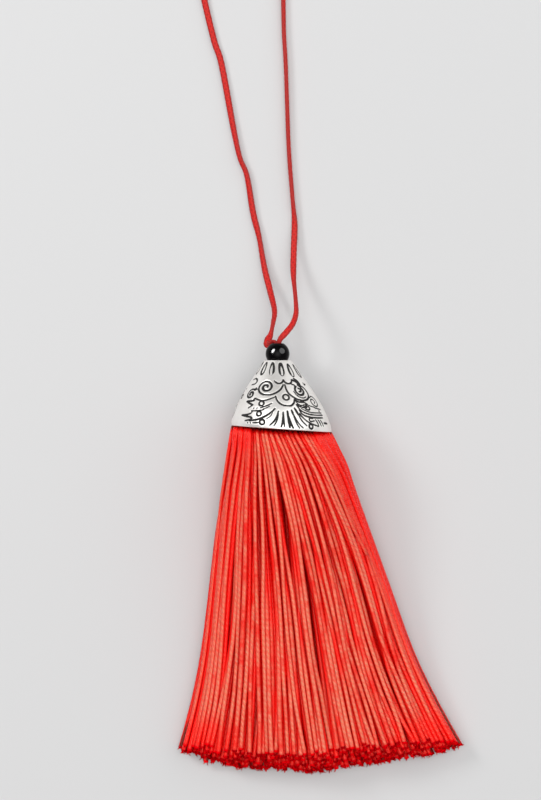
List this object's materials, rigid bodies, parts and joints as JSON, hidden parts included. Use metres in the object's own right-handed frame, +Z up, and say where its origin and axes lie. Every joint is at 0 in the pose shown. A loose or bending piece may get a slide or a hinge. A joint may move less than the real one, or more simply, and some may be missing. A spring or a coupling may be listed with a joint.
{
  "type": "silk tassel",
  "caption": "Red silk tassel lying fanned on its back, with a domed engraved metal cap, a round bead and a braided cord loop to hang it by.",
  "frame": {"origin": "on the surface, under the middle of the box round the skirt, cap and bead, without the cord", "axes": "+Z up, +Y from the cut ends of the threads towards the cap and the cord loop, +X to the right seen from above"},
  "size_m": [0.0722, 0.2111, 0.025],
  "materials": {
    "silk_thread": "soft sheen, plied rayon or silk thread",
    "engraved_silver": "bright satin silver colour with blackened engraved lines",
    "black_bead": "polished black",
    "braided_cord": "soft round braid, matt"
  },
  "bodies": {
    "root": {"skirt": "silk_thread", "cap": "engraved_silver", "bead": "black_bead", "cord_loop": "braided_cord", "cord_shank": "braided_cord"}
  },
  "joints": []
}
